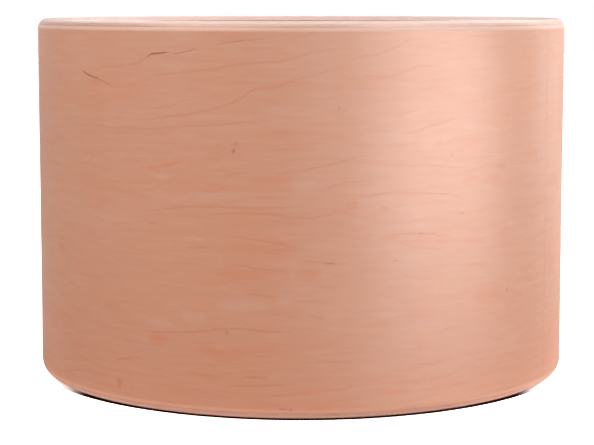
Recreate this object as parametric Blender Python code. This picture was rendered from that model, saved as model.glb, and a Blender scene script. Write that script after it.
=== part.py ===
"""Bare tom shell: a tube of eight maple veneers with a cut bearing edge at each end.

Metres, +Z up. The shell stands on its lower bearing edge at z = 0, centred on the Z axis,
with its front towards -Y. Each ply is one sheet of veneer, bent round until its two ends
meet in a butt seam, and the seams are staggered round the shell. The glued tube is then
cut at both ends to the same bearing edge: a roundover outside, a crest, a bevel inside.
"""

import math

import bmesh
import bpy
from mathutils import Matrix

# The tube: a 12 by 8 inch shell is made 11 7/8 inches across, so that a 12 inch head slips over it
SHELL_DIAMETER = 0.3016
SHELL_DEPTH = 0.2000

# The veneers, from the outside in
OUTER_FACE_VENEER = 0.0005
CORE_VENEER = 0.000775
INNER_FACE_VENEER = 0.0005
CORE_PLIES = 6
GLUE_LINE = 0.0001

# The butt seam of each ply, measured round from the front towards +X
SEAM_GAP = 0.0002
OUTER_SEAM_DEG = 61.5
SEAM_STAGGER_DEG = 66.0

# The bearing edge: its crest lies on the ply just inside the middle of the wall
ROUNDOVER_RADIUS = 0.00635
CREST_LAND = 0.0006
INNER_BEVEL_DEG = 45.0

# How finely round shapes are stepped
FACETS_ROUND = 120
ROUNDOVER_STEP_DEG = 7.0
SMOOTH_BELOW_DEG = 20.0

FRONT_DEG = -90.0
OUTER_RADIUS = SHELL_DIAMETER / 2
ROUGHNESS = 0.55


def linear_colour(red, green, blue):
    """A screen colour of 0 to 255 a channel, as the linear RGBA that a shader takes."""
    channels = [value / 255 for value in (red, green, blue)]
    return [c / 12.92 if c <= 0.04045 else ((c + 0.055) / 1.055) ** 2.4 for c in channels] + [1.0]


# Face veneers are the darkest, and on the cut edges end grain is darker than grain that runs along them
FACE_COLOUR = linear_colour(214, 160, 132)
UPRIGHT_GRAIN_COLOUR = linear_colour(222, 178, 152)
ROUND_GRAIN_COLOUR = linear_colour(234, 200, 174)


def ply_thicknesses():
    """The thickness of each ply, from the outside in."""
    return [OUTER_FACE_VENEER] + [CORE_VENEER] * CORE_PLIES + [INNER_FACE_VENEER]


def ply_depths():
    """How deep in the wall each ply starts and ends, from the outside in."""
    depths = []
    start = 0.0
    for thickness in ply_thicknesses():
        depths.append((start, start + thickness))
        start += thickness + GLUE_LINE
    return depths


def grain_is_upright(index, count):
    """Whether a ply's grain runs up the shell. The layup is the same counted from either face."""
    return min(index, count - 1 - index) % 2 == 1


def ply_name(index, count):
    """A ply's name: its number from the outside in, and what it is."""
    if index == 0:
        return "ply_1_outer_face"
    if index == count - 1:
        return f"ply_{count}_inner_face"
    grain = "upright_core" if grain_is_upright(index, count) else "round_core"
    return f"ply_{index + 1}_{grain}"


def ply_colour(index, count):
    """The colour of a ply's wood."""
    if index in (0, count - 1):
        return FACE_COLOUR
    return UPRIGHT_GRAIN_COLOUR if grain_is_upright(index, count) else ROUND_GRAIN_COLOUR


def crest_land():
    """The depths in the wall between which the bearing edge is flat."""
    depths = ply_depths()
    start, end = depths[len(depths) // 2]
    middle = (start + end) / 2
    return middle - CREST_LAND / 2, middle + CREST_LAND / 2


def roundover_angle(depth):
    """How far round the roundover's quarter circle a depth in the wall lies."""
    cosine = 1 - depth / ROUNDOVER_RADIUS
    return math.acos(min(1.0, max(0.0, cosine)))


def roundover_rise(depth):
    """How far the roundover has climbed at a depth in the wall."""
    return ROUNDOVER_RADIUS * math.sin(roundover_angle(depth))


def edge_drop(depth):
    """How far below the crest the bearing edge lies at a depth in the wall."""
    land_start, land_end = crest_land()
    if depth < land_start:
        return roundover_rise(land_start) - roundover_rise(depth)
    return max(0.0, depth - land_end) * math.tan(math.radians(INNER_BEVEL_DEG))


def edge_depths(start, end):
    """The depths at which a ply's cut end has a corner, or a step along the roundover."""
    depths = {start, end}
    depths.update(corner for corner in crest_land() if start < corner < end)
    arc_start = roundover_angle(start)
    arc_end = roundover_angle(min(end, crest_land()[0]))
    steps = math.ceil((arc_end - arc_start) / math.radians(ROUNDOVER_STEP_DEG))
    for step in range(1, steps):
        angle = arc_start + (arc_end - arc_start) * step / steps
        depths.add(ROUNDOVER_RADIUS * (1 - math.cos(angle)))
    return sorted(depths)


def ply_outline(start, end):
    """A ply's section, as radius and height, with both ends cut to the bearing edge."""
    depths = edge_depths(start, end)
    upper = [(OUTER_RADIUS - depth, SHELL_DEPTH - edge_drop(depth)) for depth in depths]
    lower = [(OUTER_RADIUS - depth, edge_drop(depth)) for depth in reversed(depths)]
    return upper + lower


def ply_mesh(name, start, end):
    """A ply bent round the Z axis, with its seam on the +X side."""
    outline = ply_outline(start, end)
    middle_radius = OUTER_RADIUS - (start + end) / 2
    gap_angle = SEAM_GAP / middle_radius
    section = bmesh.new()
    corners = [section.verts.new((radius, 0.0, height)) for radius, height in outline]
    section.faces.new(corners)
    half_gap = Matrix.Rotation(gap_angle / 2, 3, "Z")
    bmesh.ops.rotate(section, verts=section.verts, cent=(0, 0, 0), matrix=half_gap)
    bmesh.ops.spin(
        section,
        geom=section.verts[:] + section.edges[:] + section.faces[:],
        cent=(0, 0, 0),
        axis=(0, 0, 1),
        angle=math.tau - gap_angle,
        steps=FACETS_ROUND,
        use_duplicate=False,
    )
    bmesh.ops.recalc_face_normals(section, faces=section.faces)
    mesh = bpy.data.meshes.new(name)
    section.to_mesh(mesh)
    section.free()
    mesh.shade_smooth()
    mesh.set_sharp_from_angle(angle=math.radians(SMOOTH_BELOW_DEG))
    return mesh


def wood_material(name, colour):
    """Bare sanded wood."""
    material = bpy.data.materials.new(name)
    material.use_nodes = True
    shader = material.node_tree.nodes["Principled BSDF"]
    shader.inputs["Base Color"].default_value = colour
    shader.inputs["Roughness"].default_value = ROUGHNESS
    shader.inputs["Metallic"].default_value = 0.0
    return material


def seam_direction(index):
    """The turn about Z that brings a ply's seam to its place, which is on a corner of the facets."""
    facet = math.tau / FACETS_ROUND
    stagger = round(math.radians(SEAM_STAGGER_DEG) / facet) * facet
    return math.radians(FRONT_DEG + OUTER_SEAM_DEG) - index * stagger


def build_shell():
    """Every ply as its own object, carried by one empty at the shell's base."""
    shell = bpy.data.objects.new("drum_shell", None)
    bpy.context.scene.collection.objects.link(shell)
    depths = ply_depths()
    for index, (start, end) in enumerate(depths):
        name = ply_name(index, len(depths))
        ply = bpy.data.objects.new(name, ply_mesh(name, start, end))
        ply.data.materials.append(wood_material(f"{name}_maple", ply_colour(index, len(depths))))
        ply.rotation_euler.z = seam_direction(index)
        ply.parent = shell
        bpy.context.scene.collection.objects.link(ply)


def clear_scene():
    """Takes out the objects that a new scene starts with."""
    for item in list(bpy.data.objects):
        bpy.data.objects.remove(item, do_unlink=True)


clear_scene()
build_shell()
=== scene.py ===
"""The looks of a bare maple tom shell: eight veneers, the glue between them, and a plain studio.

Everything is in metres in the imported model's frame: +Z up, the shell standing on its lower
bearing edge at z = 0, its front towards -Y. Each veneer is spun as one fine sheet that takes
the place of its plain solid. The wood's figure is laid out in millimetres on the veneer's own
map, whose first coordinate runs round the shell from the front and whose second is height.
"""

import itertools
import logging
import math
from dataclasses import dataclass
from enum import Enum
from functools import reduce
from typing import Any, Callable, Iterable

import bmesh
import bpy
from mathutils import Matrix, Vector


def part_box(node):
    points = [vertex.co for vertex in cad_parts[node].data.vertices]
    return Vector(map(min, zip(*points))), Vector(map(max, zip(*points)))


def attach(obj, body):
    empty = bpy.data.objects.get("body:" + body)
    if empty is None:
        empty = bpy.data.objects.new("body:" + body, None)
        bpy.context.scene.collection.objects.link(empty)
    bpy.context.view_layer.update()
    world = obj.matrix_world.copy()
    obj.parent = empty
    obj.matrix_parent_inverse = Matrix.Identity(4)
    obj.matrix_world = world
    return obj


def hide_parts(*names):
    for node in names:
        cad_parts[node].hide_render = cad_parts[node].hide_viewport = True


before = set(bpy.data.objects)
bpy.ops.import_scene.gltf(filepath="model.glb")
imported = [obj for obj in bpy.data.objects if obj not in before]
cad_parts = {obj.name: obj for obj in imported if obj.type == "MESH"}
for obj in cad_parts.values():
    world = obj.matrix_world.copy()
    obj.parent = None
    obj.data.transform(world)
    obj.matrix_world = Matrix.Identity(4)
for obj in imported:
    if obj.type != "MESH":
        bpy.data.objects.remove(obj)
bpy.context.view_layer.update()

LOG = logging.getLogger("drum_shell")
BODY = "root"
VENEER_MAP = "veneer"
FRONT = math.radians(-90.0)
PER_MM = 1000.0

Colour = tuple[float, float, float, float]
Point = tuple[float, float]
Line = tuple[Point, ...]
Oval = tuple[float, float, float, float, float]


def screen_colour(red: float, green: float, blue: float) -> Colour:
    """Turns a screen colour into the linear one that a shader takes.

    Args:
        red: The red channel, 0 to 255.
        green: The green channel, 0 to 255.
        blue: The blue channel, 0 to 255.

    Returns:
        The linear colour with full alpha.
    """
    channels = [value / 255 for value in (red, green, blue)]
    linear = [c / 12.92 if c <= 0.04045 else ((c + 0.055) / 1.055) ** 2.4 for c in channels]
    return (*linear, 1.0)


def even_colour(level: float) -> Colour:
    """A colour whose three channels are alike."""
    return (level, level, level, 1.0)


class Signal:
    """A value that varies over a surface, whose arithmetic is done by Math nodes."""

    def __init__(self, graph: "Graph", socket: bpy.types.NodeSocket) -> None:
        """Wraps a socket.

        Args:
            graph: The graph that the socket's node is in.
            socket: The output socket that gives the value.
        """
        self.graph = graph
        self.socket = socket

    def math(self, operation: str, *values: "Signal | float") -> "Signal":
        """Adds one Math node.

        Args:
            operation: The Math node's operation.
            values: What fills its sockets, in order.

        Returns:
            The node's result.
        """
        made = self.graph.node("ShaderNodeMath", {"operation": operation}, dict(enumerate(values)))
        return Signal(self.graph, made.outputs[0])

    def __add__(self, other: "Signal | float") -> "Signal":
        """The sum."""
        return self.math("ADD", self, other)

    def __radd__(self, other: float) -> "Signal":
        """The sum, with a plain number first."""
        return self.math("ADD", other, self)

    def __sub__(self, other: "Signal | float") -> "Signal":
        """The difference."""
        return self.math("SUBTRACT", self, other)

    def __rsub__(self, other: float) -> "Signal":
        """The difference, with a plain number first."""
        return self.math("SUBTRACT", other, self)

    def __mul__(self, other: "Signal | float") -> "Signal":
        """The product."""
        return self.math("MULTIPLY", self, other)

    def __rmul__(self, other: float) -> "Signal":
        """The product, with a plain number first."""
        return self.math("MULTIPLY", other, self)

    def __truediv__(self, other: "Signal | float") -> "Signal":
        """The quotient."""
        return self.math("DIVIDE", self, other)

    def __rtruediv__(self, other: float) -> "Signal":
        """The quotient, with a plain number first."""
        return self.math("DIVIDE", other, self)

    def __abs__(self) -> "Signal":
        """The size without its sign."""
        return self.math("ABSOLUTE", self)

    def wrapped(self) -> "Signal":
        """The part after the decimal point."""
        return self.math("FRACT", self)

    def at_least(self, other: "Signal | float") -> "Signal":
        """The larger of the two."""
        return self.math("MAXIMUM", self, other)

    def eased(self, start: float, end: float, low: float = 0.0, high: float = 1.0) -> "Signal":
        """Maps a range to another with soft ends.

        Args:
            start: The value that becomes low.
            end: The value that becomes high.
            low: The result at the start and beyond it.
            high: The result at the end and beyond it.

        Returns:
            The mapped value.
        """
        inputs = {"Value": self, "From Min": start, "From Max": end, "To Min": low, "To Max": high}
        made = self.graph.node("ShaderNodeMapRange", {"interpolation_type": "SMOOTHSTEP"}, inputs)
        return Signal(self.graph, made.outputs["Result"])

    def share(self, start: float, end: float) -> "Signal":
        """How far along a range the value lies, held between 0 and 1."""
        inputs = {"Value": self, "From Min": start, "From Max": end}
        made = self.graph.node("ShaderNodeMapRange", {"clamp": True}, inputs)
        return Signal(self.graph, made.outputs["Result"])

    def through(self, points: list[Point]) -> "Signal":
        """Reads the value off a smooth curve.

        Args:
            points: The curve's points, both coordinates between 0 and 1.

        Returns:
            The curve's height at the value.
        """
        made = self.graph.node("ShaderNodeFloatCurve", {"curve": points}, {"Value": self})
        return Signal(self.graph, made.outputs[0])


class Graph:
    """A node tree under construction."""

    def __init__(self, tree: bpy.types.NodeTree) -> None:
        """Empties a node tree and starts on it.

        Args:
            tree: The tree of a material or a world.
        """
        self.tree = tree
        tree.nodes.clear()

    def node(
        self,
        kind: str,
        settings: dict[str, Any] | None = None,
        inputs: dict[str | int, Any] | None = None,
    ) -> bpy.types.Node:
        """Adds a node, sets it, and then fills its sockets.

        Args:
            kind: The node's type.
            settings: Its properties; "curve" is a float curve's points.
            inputs: A value, a Signal or an output socket for each named or numbered socket.

        Returns:
            The new node.
        """
        made = self.tree.nodes.new(kind)
        for name, value in (settings or {}).items():
            if name == "curve":
                self._set_curve(made.mapping, value)
            else:
                setattr(made, name, value)
        for name, value in (inputs or {}).items():
            self.feed(made.inputs[name], value)
        return made

    def feed(self, socket: bpy.types.NodeSocket, value: Any) -> None:
        """Links or sets one input socket.

        Args:
            socket: The input socket.
            value: A Signal, an output socket, or a plain value.
        """
        if isinstance(value, Signal):
            value = value.socket
        if isinstance(value, bpy.types.NodeSocket):
            self.tree.links.new(value, socket)
        else:
            socket.default_value = value

    def _set_curve(self, mapping: bpy.types.CurveMapping, points: list[Point]) -> None:
        """Gives a float curve its points."""
        curve = mapping.curves[0]
        while len(curve.points) < len(points):
            curve.points.new(1.0, 1.0)
        for place, (across, up) in zip(curve.points, points):
            place.location = (across, up)
            place.handle_type = "AUTO_CLAMPED"
        mapping.update()

    def vector(self, x: Signal | float, y: Signal | float, z: Signal | float = 0.0) -> bpy.types.NodeSocket:
        """Joins three values into one vector."""
        return self.node("ShaderNodeCombineXYZ", None, {"X": x, "Y": y, "Z": z}).outputs[0]

    def parts(self, vector: bpy.types.NodeSocket) -> tuple[Signal, Signal, Signal]:
        """Splits a vector into its three values."""
        outputs = self.node("ShaderNodeSeparateXYZ", None, {0: vector}).outputs
        return Signal(self, outputs[0]), Signal(self, outputs[1]), Signal(self, outputs[2])

    def noise(self, vector: bpy.types.NodeSocket, detail: float = 2.0, roughness: float = 0.5) -> Signal:
        """Smooth noise with one bump to a unit, spread evenly about zero.

        Args:
            vector: Where to read the noise.
            detail: How many finer layers are added.
            roughness: How strong each finer layer is beside the last.

        Returns:
            The noise, mostly between -1 and 1.
        """
        inputs = {"Vector": vector, "Scale": 1.0, "Detail": detail, "Roughness": roughness}
        made = self.node("ShaderNodeTexNoise", {"noise_dimensions": "3D"}, inputs)
        return (Signal(self, made.outputs[0]) - 0.5) * 3.0

    def mix(self, share: Signal | float, base: Any, top: Any, how: str = "MIX") -> bpy.types.NodeSocket:
        """Lays one colour over another.

        Args:
            share: How much of the top colour shows.
            base: The colour underneath.
            top: The colour on top.
            how: The Mix node's blend type.

        Returns:
            The mixed colour.
        """
        settings = {"data_type": "RGBA", "blend_type": how, "clamp_factor": True}
        return self.node("ShaderNodeMix", settings, {0: share, 6: base, 7: top}).outputs[2]

    def veneer_millimetres(self) -> tuple[Signal, Signal]:
        """The place on a veneer: the arc from the front and the height, in millimetres."""
        place = self.node("ShaderNodeUVMap", {"uv_map": VENEER_MAP}).outputs[0]
        arc, height, _ = self.parts(place)
        return arc * PER_MM, height * PER_MM


class Pigment(Enum):
    """What a mark in the wood is coloured by, and that colour. Each lies over the ones before it."""

    PALE = screen_colour(212, 158, 136)
    RUDDY = screen_colour(208, 127, 85)
    ROSE = screen_colour(206, 134, 117)
    LATEWOOD = screen_colour(197, 117, 82)
    MINERAL = screen_colour(140, 60, 36)


@dataclass(frozen=True)
class Mark:
    """A line or patch of the figure that is drawn out along the grain.

    Attributes:
        points: Its course, as arc and height in millimetres, from left to right.
        strength: How much of its pigment shows.
        pigment: What it is coloured by.
        fall: How far it fades downwards, in millimetres. Upwards it fades in half of that.
        ends: The share of its length over which each end fades.
    """

    points: Line
    strength: float
    pigment: Pigment = Pigment.LATEWOOD
    fall: float = 1.5
    ends: float = 0.2

    @classmethod
    def patch(cls, pigment: Pigment, oval: Oval) -> "Mark":
        """Makes an oval patch.

        Args:
            pigment: What it is coloured by.
            oval: Its middle's arc and height, half its length and height, and its strength.

        Returns:
            The mark.
        """
        arc, height, half_length, half_height, strength = oval
        crest = height + 0.3 * half_height
        points = ((arc - half_length, crest), (arc, crest), (arc + half_length, crest))
        return cls(points, strength, pigment, 1.4 * half_height, 0.4)

    @property
    def start(self) -> float:
        """The arc of its left end."""
        return self.points[0][0]

    @property
    def end(self) -> float:
        """The arc of its right end."""
        return self.points[-1][0]


@dataclass(frozen=True)
class Sheet:
    """The drawn stretch of veneer, whose marks are laid out in millimetres.

    Attributes:
        start: The arc at which it starts.
        length: How long it is.
        height: How high it is.
        widest: The fall of the widest mark.
    """

    start: float = -162.0
    length: float = 314.0
    height: float = 200.0
    widest: float = 20.0


@dataclass
class Track:
    """Marks that follow one another round the shell, so that they share one set of curves."""

    sheet: Sheet
    marks: list[Mark]

    @classmethod
    def pack(cls, sheet: Sheet, marks: Iterable[Mark], gap: float = 5.0) -> list["Track"]:
        """Shares marks out over as few tracks as they need.

        Args:
            sheet: The stretch of veneer that they lie on.
            marks: The marks.
            gap: The least arc between two marks on a track.

        Returns:
            The tracks.
        """
        tracks: list[Track] = []
        for mark in sorted(marks, key=lambda item: item.start):
            free = [track for track in tracks if track.marks[-1].end + gap < mark.start]
            if free:
                max(free, key=lambda item: item.marks[-1].end).marks.append(mark)
            else:
                tracks.append(cls(sheet, [mark]))
        return tracks

    def _share(self, arc: float) -> float:
        """Where an arc lies on the sheet, from 0 to 1."""
        return min(1.0, max(0.0, (arc - self.sheet.start) / self.sheet.length))

    def _course(self) -> list[Point]:
        """The curve of the marks' heights, carried a little past both ends of each mark."""
        points = []
        past = 1.5
        for mark in self.marks:
            (first, rise), (last, fall) = mark.points[0], mark.points[-1]
            run = [(first - past, rise), *mark.points, (last + past, fall)]
            points += [(self._share(arc), height / self.sheet.height) for arc, height in run]
        return points

    def _profile(
        self, along: tuple[float, ...], values: Callable[[Mark], tuple[float, ...]]
    ) -> list[Point]:
        """A curve through each mark's values at shares of its length, or at its fading ends."""
        points = []
        for mark in self.marks:
            ends = (0.0, mark.ends, 1.0 - mark.ends, 1.0) if not along else along
            arcs = [mark.start + share * (mark.end - mark.start) for share in ends]
            points += [(self._share(arc), value) for arc, value in zip(arcs, values(mark))]
        return points

    def mask(self, along: Signal, height: Signal) -> Signal:
        """Where the marks show.

        Args:
            along: The arc as a share of the sheet's length.
            height: The height as a share of the sheet's height.

        Returns:
            Their strength at each place, from 0.
        """
        strengths = self._profile((), lambda mark: (0.0, mark.strength, mark.strength, 0.0))
        widest = self.sheet.widest
        thinned = {0.0: 0.5, 0.5: 1.0, 1.0: 0.5}
        falls = self._profile(
            tuple(thinned), lambda mark: tuple(mark.fall * part / widest for part in thinned.values())
        )
        reach = widest / self.sheet.height
        off = (height - along.through(self._course())) / along.through(falls)
        body = off.eased(-reach, 0.0) * off.eased(0.0, 0.5 * reach, 1.0, 0.0)
        return body * along.through(strengths)


@dataclass(frozen=True)
class Dot:
    """A small round mark: its middle's arc and height, its radius and its strength."""

    arc: float
    height: float
    radius: float
    strength: float

    def mask(self, graph: Graph, place: bpy.types.NodeSocket) -> Signal:
        """Where the dot shows.

        Args:
            graph: The material's graph.
            place: The arc and the height, in millimetres, as a vector.

        Returns:
            Its strength at each place, from 0.
        """
        inputs = {0: place, 1: (self.arc, self.height, 0.0)}
        distance = graph.node("ShaderNodeVectorMath", {"operation": "DISTANCE"}, inputs).outputs["Value"]
        core, rim = 0.2 * self.radius, 1.2 * self.radius
        return Signal(graph, distance).eased(core, rim, self.strength, 0.0)


# Growth lines, as arc and height in millimetres, by how strongly they show
GROWTH_LINES: dict[float, tuple[Line, ...]] = {
    0.6: (
        ((-56, 99.5), (-52, 101.5), (-47, 103), (-40, 103.8), (-25, 104.6), (-12, 104), (-5, 103),
         (5, 102.8), (12, 103.8), (20, 104.2), (26, 104.5)),
        ((22, 110.5), (28, 112.6), (35, 113.3), (48, 114.2), (62, 113.6), (70, 113.2), (78, 112.2),
         (84, 110.8), (90, 108.5)),
        ((-95, 40), (-84, 41), (-70, 42), (-60, 42.8), (-50, 44), (-42, 45.5), (-30, 46),
         (-15, 45), (5, 45)),
        ((-32, 21), (-25, 21.8), (-16, 21.2)),
        ((40, 92), (50, 93.3), (60, 92.9), (66, 92.8), (72, 91.8), (78, 91), (82, 89.5)),
    ),
    0.5: (
        ((-60, 86), (-50, 86.8), (-45, 86.5)),
        ((-42, 93.5), (-30, 92.5), (-20, 91), (-12, 89.5), (-2, 87.5), (8, 85.5)),
        ((-38, 78.5), (-30, 78), (-20, 76.5), (-10, 75.8), (-2, 74.5)),
        ((-25, 32.5), (-14, 32.3)),
        ((-42, 15.5), (-35, 16.8), (-25, 17), (-15, 17.8), (-2, 18)),
        ((57, 24.5), (62, 26.3), (70, 25.2), (76, 26.2)),
        ((104, 48), (110, 47.5), (114, 46.5)),
        ((26, 171), (34, 173), (44, 172.5), (52, 175), (62, 177.6), (70, 177.5), (76, 178.5)),
        ((-92, 165), (-84, 171), (-68, 173.8), (-50, 175.6), (-35, 178.2), (-20, 179.9), (-6, 181),
         (2, 184), (12, 185.8), (28, 190)),
        ((-102, 149.5), (-92, 150), (-80, 150.5), (-70, 152), (-60, 153.5), (-45, 156.3), (-38, 158.5),
         (-30, 162), (-24, 166), (-12, 167.8), (-4, 171), (5, 173), (15, 176), (28, 177.5)),
        ((-18, 124.3), (-6, 125.3), (4, 127), (12, 128.5), (20, 130.5), (30, 133.3), (38, 133)),
        ((-96, 102), (-85, 103.5), (-75, 104.5), (-60, 106.8), (-40, 107.3), (-20, 107.2), (-8, 107.8),
         (0, 108.5), (5, 110.8), (9, 113)),
        ((48, 145.5), (54, 144.2), (60, 145), (66, 147), (76, 149), (86, 151.5)),
        ((-2, 81), (4, 80.7), (10, 79.8), (18, 79.2), (26, 79.5)),
    ),
    0.4: (
        ((-82, 156), (-75, 156.6), (-66, 158), (-60, 160.5)),
        ((-145, 146), (-132, 145), (-120, 146.5), (-105, 145), (-90, 145.2), (-75, 146), (-60, 147.6),
         (-45, 148.5), (-30, 149.7), (-15, 150.8), (-3, 152)),
        ((20, 180.3), (30, 182.7), (40, 184.3), (50, 188), (58, 191.5)),
        ((-40, 121.5), (-34, 124), (-28, 125), (-24, 125.3)),
        ((8, 116), (14, 117.5), (20, 119.5), (30, 120.7), (38, 121)),
        ((48, 154), (56, 155), (62, 155.5)),
        ((42, 127.5), (50, 128), (60, 128), (72, 127), (80, 126), (95, 125.5)),
        ((-160, 51), (-155, 52), (-150, 52.5)),
        ((-150, 57.5), (-144, 59.8), (-138, 59)),
        ((-30, 63.5), (-15, 63), (-8, 62.5)),
        ((2, 53.5), (10, 52), (13, 50.5)),
        ((5, 30.2), (12, 29.8), (20, 29.7), (28, 29)),
        ((-60, 21.5), (-50, 21.5), (-42, 20.8)),
        ((50, 88.5), (56, 87), (63, 85.7), (70, 84.8), (76, 84.6)),
        ((88, 74.5), (95, 75), (104, 74)),
        ((40, 17.5), (60, 17.8), (72, 17.8), (80, 18.3), (90, 21.5)),
        ((78, 13), (88, 13.7), (94, 13.2)),
    ),
    0.3: (
        ((12, 155), (18, 156), (20, 157.5)),
        ((40, 138.2), (50, 138.3), (60, 139)),
        ((62, 165.5), (72, 167)),
        ((-110, 94.5), (-98, 96), (-92, 95.5)),
        ((-160, 16), (-140, 19), (-120, 20.5)),
        ((-160, 9), (-140, 13), (-120, 14.5), (-105, 14)),
        ((-16, 86.5), (-5, 86.3), (2, 86)),
        ((-45, 73.5), (-38, 74), (-30, 73)),
        ((50, 72), (60, 70.5), (68, 69), (72, 67)),
        ((126, 57.5), (132, 55), (136, 54)),
        ((72, 41), (76, 42.8), (82, 43.3), (88, 42.5)),
        ((-60, 169.5), (-55, 170.5), (-48, 171.2)),
        ((-16, 176), (-8, 176.5), (2, 176)),
    ),
    0.22: (
        ((-130, 142.8), (-60, 143)),
        ((-122, 137), (-110, 137.5)),
        ((-125, 131), (-112, 132)),
        ((-90, 138.5), (-60, 138.5)),
        ((-88, 133.5), (-62, 133.8)),
        ((-112, 112), (-104, 115.5)),
        ((-84, 115), (-66, 119)),
        ((84, 190), (90, 192), (100, 192.5), (120, 192.5)),
        ((-80, 21.5), (-72, 22.5)),
        ((-25, 71), (-15, 71.5)),
        ((-140, 156), (-130, 155), (-120, 156), (-105, 159)),
        ((40, 135), (60, 135), (76, 134.5)),
        ((55, 134), (66, 132), (78, 130.5)),
        ((40, 61.5), (47, 61), (55, 57.5), (60, 55.5)),
        ((-122, 174.2), (-112, 176.2), (-100, 177.2), (-93, 178.5)),
    ),
}

# Lines and bands of redder wood, by how strongly they show
RUDDY_LINES: dict[float, tuple[Line, ...]] = {
    0.6: (
        ((-84, 125.5), (-76, 126.8), (-66, 128.5), (-60, 130)),
        ((-108, 23), (-100, 25), (-92, 26.2), (-84, 27)),
    ),
    0.45: (
        ((40, 13), (50, 12.8), (60, 12.5)),
        ((-10, 191), (0, 192.5), (8, 194.5)),
        ((-48, 29.5), (-30, 30.5)),
        ((-52, 130.3), (-45, 131.3), (-40, 130.2)),
        ((-22, 12), (-12, 12.5), (0, 14), (10, 15), (20, 15.5), (32, 18)),
        ((-60, 117.5), (-48, 115), (-38, 116.5)),
    ),
    0.25: (
        ((-19, 145.9), (-4, 145.4), (13, 145.6)),
        ((-12, 139.6), (2, 139.2), (16, 139.8)),
        ((-22, 136.2), (-8, 136.6), (8, 136.9)),
        ((-10, 131.3), (4, 131.6), (19, 131.2)),
    ),
}

# Dark mineral streaks: strength, fall, fading share of each end, and course
MINERAL_LINES: tuple[tuple[float, float, float, Line], ...] = (
    (1.0, 1.1, 0.08, ((-130.5, 173.4), (-125, 171.9), (-117, 170.1))),
    (0.5, 0.9, 0.3, ((-120, 170.8), (-112, 168.6), (-105, 166.2))),
    (1.0, 1.1, 0.08, ((-82.6, 181.4), (-79.5, 183.5), (-75, 183.8), (-68.5, 184.4))),
    (0.4, 0.9, 0.3, ((-71, 184.3), (-65, 183.7), (-60, 184.8), (-54, 186), (-50, 187.5))),
    (0.3, 0.9, 0.3, ((-46, 188.2), (-40, 189), (-30, 190.4), (-17, 191.2))),
)

# Patches by pigment: arc and height of the middle, half the length, half the height, strength
PATCHES: dict[Pigment, tuple[Oval, ...]] = {
    Pigment.PALE: (
        (-74, 121.5, 10, 2.5, 0.36), (-45, 112, 20, 3.5, 0.3), (-25, 109, 16, 1.5, 0.3),
        (2, 117, 10, 5, 0.36), (50, 141, 9, 3, 0.3), (-75, 45.5, 9, 3.5, 0.42),
        (-55, 90, 9, 1.8, 0.42), (-33, 56, 18, 7, 0.36),
        (-55, 49, 8, 5, 0.3), (-8, 60, 6, 5, 0.24), (-40, 152, 26, 2.0, 0.3), (-10, 156, 12, 2.5, 0.24),
        (58, 153, 8, 4, 0.27), (60, 104, 22, 4, 0.21), (-100, 97, 12, 2.2, 0.27), (-128, 178, 14, 6, 0.18),
    ),
    Pigment.RUDDY: (
        (-119, 167.5, 5, 3, 0.37), (-97, 112, 12, 3, 0.28), (-17, 120, 14, 5, 0.34),
        (25.5, 108.5, 4.5, 4, 0.5),
        (-5, 168, 16, 3.5, 0.31), (102, 160, 3, 4, 0.19), (90, 139, 9, 8, 0.15), (92, 119, 6, 3, 0.31),
        (108, 117.5, 10, 4, 0.37), (135, 165, 40, 30, 0.15), (-76, 37.3, 7, 4, 0.53),
        (-102.5, 11, 3, 5.5, 0.43),
        (-22, 85, 22, 7, 0.31), (-30, 73, 22, 6, 0.28), (5, 73.5, 8, 4.5, 0.34), (-40, 33, 22, 4, 0.4),
        (45, 91, 8, 2.2, 0.53), (60, 88.5, 14, 3, 0.34), (74, 88, 10, 3, 0.37), (105, 57, 14, 9, 0.28),
        (148, 129, 16, 4, 0.31), (60, 130, 14, 3, 0.15), (-90, 128, 10, 2, 0.22), (118, 88, 5, 12, 0.19),
    ),
    Pigment.ROSE: (
        (-6, 152.5, 8, 2, 0.36), (3, 136.8, 9, 1.8, 0.36), (-45, 115.5, 12, 2.2, 0.3), (-3, 123, 12, 2, 0.3),
        (-56, 181, 16, 3, 0.21), (-20, 186, 12, 3, 0.18), (30, 164, 12, 6, 0.18), (88, 152, 14, 5, 0.18),
        (-120, 88, 16, 7, 0.21), (-48, 134, 14, 1.6, 0.21), (96, 84, 18, 5, 0.21), (60, 48, 20, 5, 0.18),
    ),
    Pigment.LATEWOOD: (
        (-33, 138.5, 2.5, 2.2, 0.5), (-42, 138, 3, 1.5, 0.3), (95.3, 158.9, 2.8, 0.7, 0.5),
        (82, 140.5, 1.8, 1.8, 0.4), (114.3, 124.2, 5, 2.2, 0.5), (42.5, 106.3, 3.5, 1.2, 0.5),
        (-107, 52, 8, 3, 0.3), (-5, 52.3, 3.5, 0.8, 0.6), (-155, 77, 8, 4, 0.35),
    ),
    Pigment.MINERAL: (
        (87, 101.8, 2.8, 0.8, 0.3), (-79, 97.2, 2.5, 0.7, 0.25), (14.3, 79.3, 3.4, 0.9, 0.45),
        (-9.4, 5.2, 3.6, 0.7, 0.4), (62, 93, 2.0, 0.7, 0.3), (48.5, 79.5, 2.4, 0.9, 0.3),
        (-102.5, 11, 2.0, 4.0, 0.2), (159, 190, 0.9, 3.0, 0.25),
    ),
}

# Small knots and pin marks
DOTS = (
    Dot(-33.9, 135.6, 1.3, 0.5), Dot(19, 157.3, 0.9, 0.25), Dot(-118, 97.3, 1.0, 0.15),
    Dot(-37.5, 43.6, 1.0, 0.28), Dot(-5.2, 5.0, 1.0, 0.5), Dot(121.5, 58.7, 1.3, 0.25),
    Dot(73, 138.3, 1.2, 0.12), Dot(80.5, 132, 1.2, 0.15),
)


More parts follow.
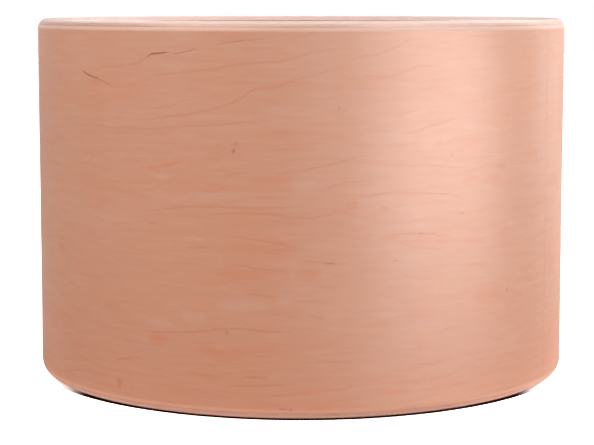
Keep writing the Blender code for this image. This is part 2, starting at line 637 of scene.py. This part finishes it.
def front_marks() -> list[Mark]:
    """The lines and patches of the figure on the front of the shell."""
    made = [Mark(line, strength) for strength, lines in GROWTH_LINES.items() for line in lines]
    for strength, lines in RUDDY_LINES.items():
        made += [Mark(line, strength, Pigment.RUDDY, 2.0) for line in lines]
    made += [Mark.patch(pigment, oval) for pigment, ovals in PATCHES.items() for oval in ovals]
    made.append(Mark(((-95, 177.8), (-88, 179), (-84, 181), (-80.5, 182.8)), 0.6, fall=2.4))
    for strength, fall, ends, line in MINERAL_LINES:
        made.append(Mark(line, strength, Pigment.MINERAL, fall, ends))
    return made


@dataclass(frozen=True)
class FaceVeneerFinish:
    """Sanded rotary-cut maple.

    Attributes:
        name: The material's name.
        marks: The lines and patches that are placed one by one.
        dots: The small knots that are placed one by one.
        seed: Where in the noise this sheet is cut from.
        sheet: The stretch that the marks are laid out on. It repeats round the shell, turned about.
        ground: The colour of the plain wood.
        fresh_cut_and_highlight: The paler colour where the rounded edge cuts into it, partly the fresh-cut
            wood and partly a painted highlight.
        cut: The heights in millimetres at which the lower and the upper edge start.
        cut_fade: Over how many millimetres the paler colour comes in.
        cut_and_highlight_shares: How much of the paler colour shows on the lower and the upper edge; the
            upper edge shows more of it as a painted highlight from light above.
        roughness: The sanded wood's roughness.
        specular_level: The sanded wood's gloss.
    """

    name: str
    marks: tuple[Mark, ...]
    dots: tuple[Dot, ...]
    seed: float = 0.0
    sheet: Sheet = Sheet()
    ground: Colour = screen_colour(207, 145, 113)
    fresh_cut_and_highlight: Colour = screen_colour(228, 182, 162)
    cut: tuple[float, float] = (5.6, 194.4)
    cut_fade: float = 1.2
    cut_and_highlight_shares: tuple[float, float] = (0.3, 0.8)
    roughness: float = 0.46
    specular_level: float = 0.5

    def material(self) -> bpy.types.Material:
        """Makes the material.

        Returns:
            A material that reads the piece's veneer map.
        """
        material, graph, shader = wood_material(self.name)
        arc, height = graph.veneer_millimetres()
        colour = self._ground(graph, arc, height)
        colour = self._growth_lines(graph, arc, height, colour)
        colour = self._marks(graph, arc, height, colour)
        fibre = graph.noise(graph.vector(arc / 9.0, height / 0.6, self.seed), 3.0, 0.6)
        colour = graph.mix(fibre.eased(-1.0, 1.0, 0.0, 0.12), colour, Pigment.LATEWOOD.value)
        # Paler colour on the roundovers: the fresh-cut wood, and a painted highlight that makes the upper
        # edge paler than the lower.
        (low, high), (lower, upper) = self.cut, self.cut_and_highlight_shares
        edge = height.eased(low - self.cut_fade, low, lower, 0.0)
        edge = edge + height.eased(high, high + self.cut_fade, 0.0, upper)
        colour = graph.mix(edge, colour, self.fresh_cut_and_highlight)
        graph.feed(shader.inputs["Base Color"], colour)
        rough = fibre * 0.03 + graph.noise(graph.vector(arc / 60.0, height / 30.0, self.seed)) * 0.03
        graph.feed(shader.inputs["Roughness"], rough + self.roughness)
        shader.inputs["Specular IOR Level"].default_value = self.specular_level
        relief = {"Strength": 0.25, "Distance": 0.00004, "Height": fibre}
        graph.feed(shader.inputs["Normal"], graph.node("ShaderNodeBump", None, relief).outputs[0])
        return material

    def _ground(self, graph: Graph, arc: Signal, height: Signal) -> bpy.types.NodeSocket:
        """The plain wood: broad clouds, shorter patches drawn out along the grain, and flecks."""
        colour: Any = self.ground
        layers = (
            (Pigment.PALE, 110.0, 40.0, -0.1, 0.5),
            (Pigment.RUDDY, 80.0, 22.0, -0.1, 0.45),
            (Pigment.PALE, 25.0, 3.4, -0.1, 0.6),
            (Pigment.RUDDY, 26.0, 2.8, -0.1, 0.65),
            (Pigment.ROSE, 22.0, 3.2, -0.1, 0.32),
            (Pigment.LATEWOOD, 17.0, 0.8, 0.3, 0.4),
            (Pigment.LATEWOOD, 2.2, 0.9, -0.1, 0.22),
        )
        for number, (pigment, length, depth, from_level, strength) in enumerate(layers):
            place = graph.vector(arc / length, height / depth, self.seed + 3.0 * number)
            share = graph.noise(place, 3.0, 0.55).eased(from_level, from_level + 1.3, 0.0, strength)
            colour = graph.mix(share, colour, pigment.value)
        return colour

    def _growth_lines(
        self, graph: Graph, arc: Signal, height: Signal, colour: bpy.types.NodeSocket
    ) -> bpy.types.NodeSocket:
        """The faint contour lines of the growth rings that the peeling knife cuts through."""
        slow = graph.noise(graph.vector(arc / 130.0, height / 60.0, self.seed + 31.0), 1.0)
        quick = graph.noise(graph.vector(arc / 30.0, height / 14.0, self.seed + 33.0), 2.0)
        ring = ((height + slow * 14.0 + quick * 2.4) / 6.0).wrapped()
        line = ring.eased(0.55, 0.96) * ring.eased(0.96, 1.0, 1.0, 0.0)
        patchy = graph.noise(graph.vector(arc / 34.0, height / 8.0, self.seed + 37.0), 2.0)
        return graph.mix(line * patchy.eased(-0.1, 1.1, 0.0, 0.3), colour, Pigment.LATEWOOD.value)

    def _drawn_place(self, arc: Signal, height: Signal) -> tuple[Signal, Signal]:
        """Where a place lies on the drawn stretch, which is turned about from one repeat to the next."""
        sheet = self.sheet
        turn = ((arc - sheet.start) / sheet.length).math("FLOOR")
        local = arc - turn * sheet.length
        mirrored = turn.math("COMPARE", -2.0, 0.5)
        local = local + mirrored * (2.0 * sheet.start + sheet.length - local * 2.0)
        flipped = turn.math("PINGPONG", 1.0)
        return local, height + flipped * (sheet.height - height * 2.0)

    def _marks(
        self, graph: Graph, arc: Signal, height: Signal, colour: bpy.types.NodeSocket
    ) -> bpy.types.NodeSocket:
        """The marks that are placed one by one, each pigment in one layer."""
        arc, height = self._drawn_place(arc, height)
        waver = graph.noise(graph.vector(arc / 7.0, height / 3.5, self.seed + 41.0), 2.0)
        ragged = graph.noise(graph.vector(arc / 12.0, height / 4.0, self.seed + 43.0), 3.0, 0.6)
        broken = graph.noise(graph.vector(arc / 4.5, height / 1.4, self.seed + 47.0), 2.0)
        streaks = graph.noise(graph.vector(arc / 14.0, height / 1.2, self.seed + 53.0), 2.0)
        for pigment in Pigment:
            soft = pigment in (Pigment.PALE, Pigment.RUDDY, Pigment.ROSE)
            across = arc + (ragged * 3.0 if soft else waver * 0.5)
            up = height + (ragged * 1.2 if soft else waver * 0.45)
            along = across.share(self.sheet.start, self.sheet.start + self.sheet.length)
            level = up / self.sheet.height
            tracks = Track.pack(self.sheet, (mark for mark in self.marks if mark.pigment is pigment))
            masks = (track.mask(along, level) for track in tracks)
            if pigment is Pigment.MINERAL:
                place = graph.vector(across, up)
                masks = itertools.chain(masks, (dot.mask(graph, place) for dot in self.dots))
            layer = reduce(Signal.at_least, masks)
            if soft:
                layer = layer * streaks.eased(-0.9, 0.6, 0.5, 1.5)
            elif pigment is not Pigment.MINERAL:
                layer = layer * broken.eased(-0.9, 0.7, 0.55, 1.0)
            colour = graph.mix(layer, colour, pigment.value)
        return colour


class Grain(Enum):
    """Which way a veneer's grain runs."""

    ROUND = "round"
    UPRIGHT = "upright"


@dataclass(frozen=True)
class CutEdgeFinish:
    """A core veneer as the bearing edge cuts it.

    Attributes:
        grain: Which way its grain runs.
        seed: Where in the noise this sheet is cut from, which is also in the material's name.
        roughness: The cut wood's roughness.
    """

    grain: Grain
    seed: float = 0.0
    roughness: float = 0.4

    def material(self) -> bpy.types.Material:
        """Makes the material.

        Returns:
            A material that reads the veneer map and the height in the piece.
        """
        material, graph, shader = wood_material(f"maple_{self.grain.value}_grain_{self.seed:.0f}")
        arc, _ = graph.veneer_millimetres()
        x, y, z = graph.parts(graph.node("ShaderNodeTexCoord").outputs["Object"])
        radius = graph.node("ShaderNodeVectorMath", {"operation": "LENGTH"}, {0: graph.vector(x, y)})
        depth = Signal(graph, radius.outputs["Value"]) * PER_MM
        height = z * PER_MM
        if self.grain is Grain.UPRIGHT:
            light, dark = screen_colour(212, 164, 142), screen_colour(184, 136, 116)
            fine = graph.noise(graph.vector(arc / 0.5, depth / 0.4, height / 2.0), 2.0, 0.6)
        else:
            light, dark = screen_colour(208, 174, 158), screen_colour(190, 154, 138)
            fine = graph.noise(graph.vector(arc / 7.0, depth / 0.25, height / 0.5), 2.0, 0.6)
        broad = graph.noise(graph.vector(arc / 28.0, self.seed, 0.0), 3.0, 0.6)
        colour = graph.mix((fine * 0.6 + broad).eased(-1.2, 1.2), light, dark)
        graph.feed(shader.inputs["Base Color"], colour)
        graph.feed(shader.inputs["Roughness"], fine * 0.05 + self.roughness)
        relief = {"Strength": 0.3, "Distance": 0.00005, "Height": fine}
        graph.feed(shader.inputs["Normal"], graph.node("ShaderNodeBump", None, relief).outputs[0])
        return material


@dataclass(frozen=True)
class GlueFinish:
    """Dried wood glue, a darker amber than the maple, with some blotches to a metre."""

    light: Colour = screen_colour(190, 128, 96)
    dark: Colour = screen_colour(160, 104, 76)
    blotches: float = 120.0
    roughness: float = 0.5

    def material(self) -> bpy.types.Material:
        """Makes the material.

        Returns:
            A material that reads Object coordinates.
        """
        material, graph, shader = wood_material("dried_glue")
        x, y, z = graph.parts(graph.node("ShaderNodeTexCoord").outputs["Object"])
        blotch = graph.noise(graph.vector(*(side * self.blotches for side in (x, y, z))), 3.0, 0.6)
        graph.feed(shader.inputs["Base Color"], graph.mix(blotch.eased(-1.0, 1.0), self.dark, self.light))
        graph.feed(shader.inputs["Roughness"], blotch * 0.06 + self.roughness)
        return material


def wood_material(name: str) -> tuple[bpy.types.Material, Graph, bpy.types.Node]:
    """Starts a material with one Principled shader.

    Args:
        name: The material's name.

    Returns:
        The material, its graph and its shader node.
    """
    material = bpy.data.materials.new(name)
    material.use_nodes = True
    graph = Graph(material.node_tree)
    shader = graph.node("ShaderNodeBsdfPrincipled", None, {"Metallic": 0.0})
    graph.node("ShaderNodeOutputMaterial", None, {"Surface": shader.outputs[0]})
    return material, graph, shader


@dataclass(frozen=True)
class Ply:
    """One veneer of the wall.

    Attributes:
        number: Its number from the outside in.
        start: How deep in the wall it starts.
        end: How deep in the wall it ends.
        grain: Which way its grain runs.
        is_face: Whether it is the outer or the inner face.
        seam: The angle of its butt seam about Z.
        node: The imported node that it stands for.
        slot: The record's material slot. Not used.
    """

    number: int
    start: float
    end: float
    grain: Grain
    is_face: bool
    seam: float
    node: str
    slot: str


@dataclass(frozen=True)
class Layup:
    """The stack of veneers that makes the wall, from the outside in."""

    outer_radius: float = 0.1508
    face: float = 0.0005
    core: float = 0.000775
    core_count: int = 6
    glue: float = 0.0001
    outer_seam: float = math.radians(61.5)
    seam_stagger: float = math.radians(66.0)

    def plies(self) -> list[Ply]:
        """Works out every veneer.

        Returns:
            The veneers, from the outside in.
        """
        thicknesses = [self.face] + [self.core] * self.core_count + [self.face]
        made = []
        start = 0.0
        for index, thickness in enumerate(thicknesses):
            made.append(self._ply(index, len(thicknesses), start, start + thickness))
            start += thickness + self.glue
        return made

    def _ply(self, index: int, count: int, start: float, end: float) -> Ply:
        """Works out one veneer from its place in the stack."""
        is_face = index in (0, count - 1)
        upright = min(index, count - 1 - index) % 2 == 1
        grain = Grain.UPRIGHT if upright else Grain.ROUND
        seam = FRONT + self.outer_seam - index * self.seam_stagger
        if is_face:
            name = "outer_face" if index == 0 else "inner_face"
            slot = "maple_face"
        else:
            name = f"{grain.value}_core"
            slot = f"maple_{grain.value}_grain"
        return Ply(index + 1, start, end, grain, is_face, seam, f"ply_{index + 1}_{name}", slot)


@dataclass(frozen=True)
class BearingEdge:
    """The profile that both ends of the wall are cut to: roundover, crest and inner bevel.

    Attributes:
        height: The shell's height from crest to crest.
        crest: How deep in the wall the middle of the crest lies.
        roundover: The radius of the roundover outside the crest.
        land: The width of the flat crest.
        bevel: How steeply the inside falls away.
        sanded: How far the crest's corners are eased.
        arc_step: How finely the roundover is stepped.
    """

    height: float
    crest: float
    roundover: float = 0.00635
    land: float = 0.0006
    bevel: float = math.radians(45.0)
    sanded: float = 0.00012
    arc_step: float = math.radians(2.5)

    def _angle(self, depth: float) -> float:
        """How far round the roundover's quarter circle a depth lies."""
        return math.acos(min(1.0, max(0.0, 1.0 - depth / self.roundover)))

    def corners(self) -> tuple[float, float]:
        """The depths of the flat crest's two corners."""
        return self.crest - self.land / 2, self.crest + self.land / 2

    def drop(self, depth: float) -> float:
        """How far below the crest the edge lies.

        Args:
            depth: The depth in the wall.

        Returns:
            The drop from the crest.
        """
        outer, inner = self.corners()
        if depth < outer:
            return self.roundover * (math.sin(self._angle(outer)) - math.sin(self._angle(depth)))
        return max(0.0, depth - inner) * math.tan(self.bevel)

    def stations(self, start: float, end: float) -> list[float]:
        """Where the edge has a corner or a step.

        Args:
            start: The depth at which to start.
            end: The depth at which to end.

        Returns:
            The depths, in order.
        """
        depths = {start, end}
        depths.update(corner for corner in self.corners() if start < corner < end)
        first = self._angle(start)
        last = self._angle(min(end, self.corners()[0]))
        steps = math.ceil((last - first) / self.arc_step)
        for step in range(1, steps):
            angle = first + (last - first) * step / steps
            depths.add(self.roundover * (1.0 - math.cos(angle)))
        return sorted(depths)

    def outline(self, radius: float, start: float, end: float, recess: float = 0.0) -> list[Point]:
        """The section of a layer of the wall.

        Args:
            radius: The wall's outer radius.
            start: The depth at which the layer starts.
            end: The depth at which it ends.
            recess: How far its cut ends lie inside the edge.

        Returns:
            The section's corners as radius and height, in order round it.
        """
        depths = self.stations(start, end)
        upper = [(radius - depth, self.height - self.drop(depth) - recess) for depth in depths]
        lower = [(radius - depth, self.drop(depth) + recess) for depth in reversed(depths)]
        return upper + lower


def section(shape: bmesh.types.BMesh, outline: list[Point], angle: float) -> None:
    """Puts a section into a mesh as one face, standing at an angle about Z.

    Args:
        shape: The mesh to add to.
        outline: The section's corners, as radius and height.
        angle: The angle about Z.
    """
    corners = [shape.verts.new((radius, 0.0, height)) for radius, height in outline]
    shape.faces.new(corners)
    turn = Matrix.Rotation(angle, 3, "Z")
    bmesh.ops.rotate(shape, verts=corners, cent=(0, 0, 0), matrix=turn)


def finished_object(shape: bmesh.types.BMesh, name: str, smooth_below: float = 25.0) -> bpy.types.Object:
    """Turns a mesh under construction into an object at the origin.

    Args:
        shape: The mesh, which is used up.
        name: The object's name.
        smooth_below: The angle in degrees under which edges are shaded smooth.

    Returns:
        The object, linked to the scene.
    """
    bmesh.ops.recalc_face_normals(shape, faces=shape.faces)
    mesh = bpy.data.meshes.new(name)
    shape.to_mesh(mesh)
    shape.free()
    mesh.shade_smooth()
    mesh.set_sharp_from_angle(angle=math.radians(smooth_below))
    made = bpy.data.objects.new(name, mesh)
    bpy.context.scene.collection.objects.link(made)
    return made


@dataclass
class DrumShell:
    """The whole shell: its veneers and the glue between them.

    Attributes:
        layup: The stack of veneers.
        edge: The bearing edge at both ends.
        facets: The steps in a full turn.
        seam_gap: The width of a butt seam.
        seam_fill: How much of a seam's width its glue fills.
        glue_recess: How far the glue between veneers lies inside the cut wood, and in seams a third of it.
    """

    layup: Layup
    edge: BearingEdge
    facets: int = 480
    seam_gap: float = 0.0002
    seam_fill: float = 0.96
    glue_recess: float = 0.00003

    def build(self) -> list[bpy.types.Object]:
        """Builds and dresses every piece.

        Returns:
            The pieces.
        """
        plies = self.layup.plies()
        made = [self._veneer(ply) for ply in plies]
        made += [self._glue_line(outer, inner) for outer, inner in zip(plies, plies[1:])]
        made.append(self._seam_glue(plies))
        return made

    def _finish(self, ply: Ply) -> FaceVeneerFinish | CutEdgeFinish:
        """The finish of a veneer."""
        if ply.number == 1:
            return FaceVeneerFinish("maple_outer_face", tuple(front_marks()), DOTS)
        if ply.is_face:
            marks = tuple(front_marks()[::3])
            return FaceVeneerFinish("maple_inner_face", marks, DOTS[::2], 50.0, Sheet(-70.0))
        return CutEdgeFinish(ply.grain, 10.0 * ply.number)

    def _veneer(self, ply: Ply) -> bpy.types.Object:
        """One veneer, bent round until its two ends nearly meet."""
        gap = self.seam_gap / (self.layup.outer_radius - (ply.start + ply.end) / 2)
        shape = bmesh.new()
        outline = self.edge.outline(self.layup.outer_radius, ply.start, ply.end)
        section(shape, outline, ply.seam + gap / 2)
        geometry = shape.verts[:] + shape.edges[:] + shape.faces[:]
        turn = {"cent": (0, 0, 0), "axis": (0, 0, 1), "angle": math.tau - gap, "steps": self.facets}
        bmesh.ops.spin(shape, geom=geometry, use_duplicate=False, **turn)
        self._sand_corners(shape, ply)
        self._map(shape, ply)
        made = finished_object(shape, f"veneer_{ply.node.removeprefix('ply_')}")
        made.data.materials.append(self._finish(ply).material())
        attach(made, BODY)
        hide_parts(ply.node)
        return made

    def _sand_corners(self, shape: bmesh.types.BMesh, ply: Ply) -> None:
        """Eases the corners that are cut into a veneer's ends."""
        corners = [depth for depth in self.edge.corners() if ply.start < depth < ply.end]
        if not corners:
            return
        edges = [edge for edge in shape.edges if self._runs_along(edge, corners)]
        settings = {"affect": "EDGES", "segments": 3, "profile": 0.5, "material": -1}
        bmesh.ops.bevel(shape, geom=edges, offset=self.edge.sanded, **settings)

    def _runs_along(self, edge: bmesh.types.BMEdge, depths: list[float]) -> bool:
        """Whether an edge runs round the shell at one of some depths."""
        radii = [vert.co.xy.length for vert in edge.verts]
        level = abs(edge.verts[0].co.z - edge.verts[1].co.z) < 1e-6
        near = [self.layup.outer_radius - depth for depth in depths]
        return level and any(all(abs(radius - want) < 2e-6 for radius in radii) for want in near)

    def _map(self, shape: bmesh.types.BMesh, ply: Ply) -> None:
        """Writes the veneer map: arc from the front and height, in metres, unbroken but for the seam."""
        layer = shape.loops.layers.uv.new(VENEER_MAP)
        front = (FRONT - ply.seam) % math.tau
        for face in shape.faces:
            for loop in face.loops:
                x, y, height = loop.vert.co
                turned = (math.atan2(y, x) - ply.seam) % math.tau
                loop[layer].uv = ((turned - front) * self.layup.outer_radius, height)

    def _glue_line(self, outer: Ply, inner: Ply) -> bpy.types.Object:
        """The film of glue between two veneers."""
        shape = bmesh.new()
        outline = self.edge.outline(self.layup.outer_radius, outer.end, inner.start, self.glue_recess)
        section(shape, outline, 0.0)
        bmesh.ops.delete(shape, geom=shape.faces[:], context="FACES_ONLY")
        turn = {"cent": (0, 0, 0), "axis": (0, 0, 1), "angle": math.tau, "steps": self.facets}
        bmesh.ops.spin(shape, geom=shape.verts[:] + shape.edges[:], use_merge=True, **turn)
        return self._glued(shape, f"glue_line_{outer.number}")

    def _seam_glue(self, plies: list[Ply]) -> bpy.types.Object:
        """The glue that fills the butt seams, a strip in each."""
        shape = bmesh.new()
        recess = self.glue_recess / 3
        for ply in plies:
            middle = self.layup.outer_radius - (ply.start + ply.end) / 2
            width = self.seam_fill * self.seam_gap / middle
            strip = bmesh.new()
            outline = self.edge.outline(
                self.layup.outer_radius, ply.start + recess, ply.end - recess, recess
            )
            section(strip, outline, ply.seam - width / 2)
            geometry = strip.verts[:] + strip.edges[:] + strip.faces[:]
            turn = {"cent": (0, 0, 0), "axis": (0, 0, 1), "angle": width, "steps": 1}
            bmesh.ops.spin(strip, geom=geometry, use_duplicate=False, **turn)
            bmesh.ops.recalc_face_normals(strip, faces=strip.faces)
            joined = bpy.data.meshes.new("strip")
            strip.to_mesh(joined)
            strip.free()
            shape.from_mesh(joined)
            bpy.data.meshes.remove(joined)
        return self._glued(shape, "seam_glue")

    def _glued(self, shape: bmesh.types.BMesh, name: str) -> bpy.types.Object:
        """Finishes a piece of glue."""
        made = finished_object(shape, name)
        made.data.materials.append(GlueFinish().material())
        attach(made, BODY)
        return made


class Reach(Enum):
    """Which light a softbox adds."""

    GLOSS = "gloss"
    DIFFUSE = "diffuse"


@dataclass(frozen=True)
class Softbox:
    """A soft rectangular lamp that faces the middle of the shell.

    Attributes:
        name: Its name.
        azimuth: Its direction from the shell, in degrees from the front towards +X.
        elevation: Its height above the horizon, in degrees.
        distance: How far from the shell it stands.
        width: Its width.
        height: Its height.
        radiance: How bright it looks, where 1 is white.
        reach: Which light it adds.
    """

    name: str
    azimuth: float
    elevation: float
    distance: float
    width: float
    height: float
    radiance: float
    reach: Reach

    def place(self, target: Vector) -> bpy.types.Object:
        """Puts the lamp in the scene.

        Args:
            target: What it faces.

        Returns:
            The lamp.
        """
        lamp = bpy.data.lights.new(self.name, "AREA")
        lamp.shape = "RECTANGLE"
        lamp.size = self.width
        lamp.size_y = self.height
        lamp.energy = self.radiance * math.pi * self.width * self.height
        made = bpy.data.objects.new(self.name, lamp)
        around = math.radians(self.azimuth)
        up = math.radians(self.elevation)
        level = math.cos(up)
        towards = Vector((math.sin(around) * level, -math.cos(around) * level, math.sin(up)))
        made.location = target + towards * self.distance
        made.rotation_mode = "QUATERNION"
        made.rotation_quaternion = (-towards).to_track_quat("-Z", "Y")
        made.visible_camera = False
        made.visible_diffuse = self.reach is not Reach.GLOSS
        made.visible_glossy = self.reach is not Reach.DIFFUSE
        bpy.context.scene.collection.objects.link(made)
        return made


@dataclass(frozen=True)
class Viewpoint:
    """The camera.

    Attributes:
        distance: How far in front of the shell's axis it stands.
        height: How high it stands.
        pitch: How far it looks down, in degrees.
        lens: Its focal length in millimetres on a 36 mm wide sensor.
        image: The picture's size in pixels.
        axis_pixel: The pixel, from the top left, that it looks straight at.
    """

    distance: float = 1.00344
    height: float = 0.20963
    pitch: float = 5.409
    lens: float = 104.63
    image: tuple[int, int] = (594, 445)
    axis_pixel: Point = (301.11, 165.0)

    def place(self) -> bpy.types.Object:
        """Puts the camera in the scene and makes it the scene's own.

        Returns:
            The camera.
        """
        camera = bpy.data.cameras.new("camera")
        camera.lens = self.lens
        camera.sensor_width = 36.0
        camera.shift_x = 0.5 - self.axis_pixel[0] / self.image[0]
        camera.shift_y = (self.axis_pixel[1] - self.image[1] / 2) / self.image[0]
        made = bpy.data.objects.new("camera", camera)
        made.location = (0.0, -self.distance, self.height)
        made.rotation_euler = (math.radians(90.0 - self.pitch), 0.0, 0.0)
        bpy.context.scene.collection.objects.link(made)
        bpy.context.scene.camera = made
        return made


@dataclass(frozen=True)
class Studio:
    """A white floor in white surroundings, soft lamps and the camera. The floor has a painted shadow under
    the shell's roundover and a painted pool of light beside it.

    Attributes:
        footprint: The radius of the ground that the shell's wall covers.
        floor_reach: How far the floor runs from the middle.
        floor_tone: How much light the floor gives back to the wood.
        floor_gloss: How light the floor is as the wood's gloss mirrors it.
        floor_near_painted_light: How light the floor close beside the shell is to the wood, a painted pool
            of light that lights the wood's lower edge.
        floor_shown: How light the floor is to the camera.
        painted_contact_shadow: The colour of the painted shadow that the camera sees on the floor under the
            roundover.
        contact_depth: How far in under the roundover the painted shadow reaches.
        contact_start: How far past the roundover it starts to fade.
        contact_spread: How far past the roundover it ends.
        contact_width: Between which shares of the footprint it fades out to the sides.
        painted_light_reach: How far the painted pool of light beside the shell spreads.
        ambient: How bright the surroundings light the wood.
        target: How high above the floor the lamps aim.
        lamps: The lamps.
    """

    footprint: float
    floor_reach: float = 6.0
    floor_tone: float = 1.0
    floor_gloss: float = 1.15
    floor_near_painted_light: float = 1.6
    floor_shown: float = 5.2
    painted_contact_shadow: Colour = (0.03, 0.008, 0.004, 1.0)
    contact_depth: float = 0.006
    contact_start: float = 0.0006
    contact_spread: float = 0.0018
    contact_width: tuple[float, float] = (0.76, 0.99)
    painted_light_reach: float = 0.01
    ambient: float = 0.23
    target: float = 0.1
    lamps: tuple[Softbox, ...] = (
        Softbox("right_far", 115.0, 30.0, 1.5, 1.0, 0.9, 5.7, Reach.DIFFUSE),
        Softbox("left_low", -60.0, 14.0, 1.5, 1.0, 0.7, 2.95, Reach.DIFFUSE),
        Softbox("front_low", 0.0, 14.0, 1.5, 1.0, 0.7, 2.21, Reach.DIFFUSE),
        Softbox("sheen_floor", 55.0, -3.0, 0.9, 0.9, 0.3, 16.6, Reach.GLOSS),
        Softbox("sheen_level", 50.0, 8.0, 0.9, 0.9, 0.6, 2.7, Reach.GLOSS),
        Softbox("sheen_right", 55.0, 40.0, 1.0, 0.9, 0.6, 6.3, Reach.GLOSS),
        Softbox("sheen_front", 15.0, 10.0, 1.0, 0.5, 0.6, 2.2, Reach.GLOSS),
        Softbox("sheen_left", -45.0, 38.0, 1.1, 0.9, 0.7, 3.6, Reach.GLOSS),
        Softbox("sheen_over", 0.0, 85.0, 1.2, 1.8, 0.9, 6.3, Reach.GLOSS),
        Softbox("sheen_high", 0.0, 60.0, 1.1, 1.6, 0.6, 1.9, Reach.GLOSS),
        Softbox("sheen_back", 180.0, 55.0, 1.2, 1.8, 0.9, 5.6, Reach.GLOSS),
        Softbox("sheen_behind", 120.0, 20.0, 1.0, 0.6, 0.9, 2.4, Reach.GLOSS),
        Softbox("sheen_side", -90.0, 30.0, 1.0, 0.6, 0.9, 0.76, Reach.GLOSS),
    )

    def build(self) -> None:
        """Puts everything in the scene."""
        self._floor()
        self._surroundings()
        for lamp in self.lamps:
            lamp.place(Vector((0.0, 0.0, self.target)))
        Viewpoint().place()
        bpy.context.scene.view_settings.view_transform = "Standard"

    def _looked_at(self, graph: Graph, *rays: str) -> Signal:
        """1 for the named kinds of ray, and 0 for the rest."""
        path = graph.node("ShaderNodeLightPath").outputs
        return reduce(Signal.at_least, (Signal(graph, path[f"Is {ray} Ray"]) for ray in rays))

    def _floor(self) -> None:
        """The floor, which the camera, the wood's gloss and gathered light each see in its own tone: the
        camera sees a painted shadow under the roundover, and the wood sees a painted pool of light beside
        the shell.
        """
        shape = bmesh.new()
        bmesh.ops.create_grid(shape, x_segments=1, y_segments=1, size=self.floor_reach)
        made = finished_object(shape, "floor")
        material = bpy.data.materials.new("pale_floor")
        material.use_nodes = True
        graph = Graph(material.node_tree)
        x, y, _ = graph.parts(graph.node("ShaderNodeTexCoord").outputs["Object"])
        radius = graph.node("ShaderNodeVectorMath", {"operation": "LENGTH"}, {0: graph.vector(x, y)})
        reach = Signal(graph, radius.outputs["Value"])
        # The camera sees a shadow painted on the floor under the roundover.
        shown = graph.mix(self._painted_shadow(reach, x), even_colour(self.floor_shown), self.painted_contact_shadow)
        gloss = self._looked_at(graph, "Glossy")
        tone = graph.mix(gloss, even_colour(self.floor_tone), even_colour(self.floor_gloss))
        # A painted pool of light: the floor beside the shell is lighter to the wood than the rest of the
        # floor.
        painted_light_beside = reach.eased(self.footprint, self.footprint + self.painted_light_reach, 1.0, 0.0)
        tone = graph.mix(painted_light_beside, tone, even_colour(self.floor_near_painted_light))
        tone = graph.mix(self._looked_at(graph, "Camera", "Transmission"), tone, shown)
        diffuse = graph.node("ShaderNodeBsdfDiffuse", None, {"Color": tone})
        graph.node("ShaderNodeOutputMaterial", None, {"Surface": diffuse.outputs[0]})
        made.data.materials.append(material)

    def _painted_shadow(self, reach: Signal, across: Signal) -> Signal:
        """How much painted shadow the floor shows under the roundover.

        Args:
            reach: The distance from the shell's axis.
            across: The distance to the right of it.

        Returns:
            1 where the painted shadow is full, and 0 where the floor is open.
        """
        inner = self.footprint - self.contact_depth
        outer = self.footprint + self.contact_start
        shadow_share = reach.eased(inner, inner + 0.001)
        shadow_share = shadow_share * reach.eased(outer, self.footprint + self.contact_spread, 1.0, 0.0)
        start, end = (share * self.footprint for share in self.contact_width)
        return shadow_share * abs(across).eased(start, end, 1.0, 0.0)

    def _surroundings(self) -> None:
        """The white that surrounds the scene."""
        world = bpy.data.worlds.new("surroundings")
        world.use_nodes = True
        bpy.context.scene.world = world
        graph = Graph(world.node_tree)
        looked_at = self._looked_at(graph, "Camera", "Glossy", "Transmission")
        strength = looked_at * (1.0 - self.ambient) + self.ambient
        inputs = {"Color": even_colour(1.0), "Strength": strength}
        background = graph.node("ShaderNodeBackground", None, inputs)
        graph.node("ShaderNodeOutputWorld", None, {"Surface": background.outputs[0]})


def main() -> None:
    """Builds the shell and the studio, and reports each piece."""
    logging.basicConfig(level=logging.INFO, format="%(message)s")
    layup = Layup()
    plies = layup.plies()
    crest_ply = plies[len(plies) // 2]
    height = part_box(crest_ply.node)[1].z
    edge = BearingEdge(height, (crest_ply.start + crest_ply.end) / 2)
    for piece in DrumShell(layup, edge).build():
        LOG.info("%s: %d faces", piece.name, len(piece.data.polygons))
    Studio(layup.outer_radius).build()


if __name__ == "__main__":
    main()
